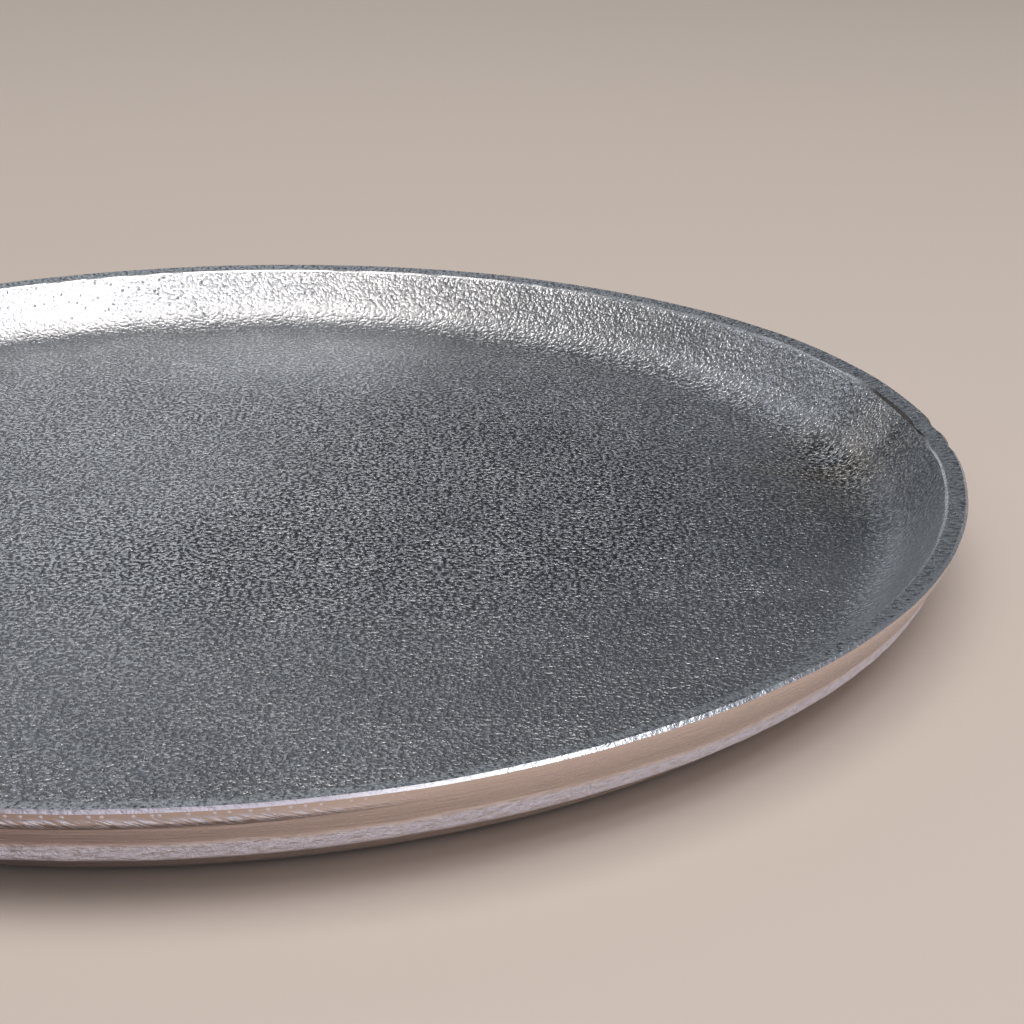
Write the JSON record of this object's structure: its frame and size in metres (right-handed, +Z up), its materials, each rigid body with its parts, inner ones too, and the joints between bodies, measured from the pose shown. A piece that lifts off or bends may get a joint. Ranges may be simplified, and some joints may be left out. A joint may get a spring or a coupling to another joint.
{
  "type": "paten plate",
  "caption": "Round sand-cast metal plate with a flat floor, a low flared wall, a ground lip and felt feet under its base.",
  "frame": {"origin": "centre of the plate's footprint, on the surface that the felt feet stand on", "axes": "+Z up along the plate's round axis; +X and +Y lie in the table plane, half way between felt feet"},
  "size_m": [0.3, 0.3, 0.018],
  "materials": {
    "cast_aluminium": "as-cast sand grain inside, ground lip, satin-polished outside wall",
    "felt": "dense pressed felt"
  },
  "bodies": {
    "root": {"dish": "cast_aluminium", "felt_foot_1": "felt", "felt_foot_2": "felt", "felt_foot_3": "felt", "felt_foot_4": "felt"}
  },
  "joints": []
}
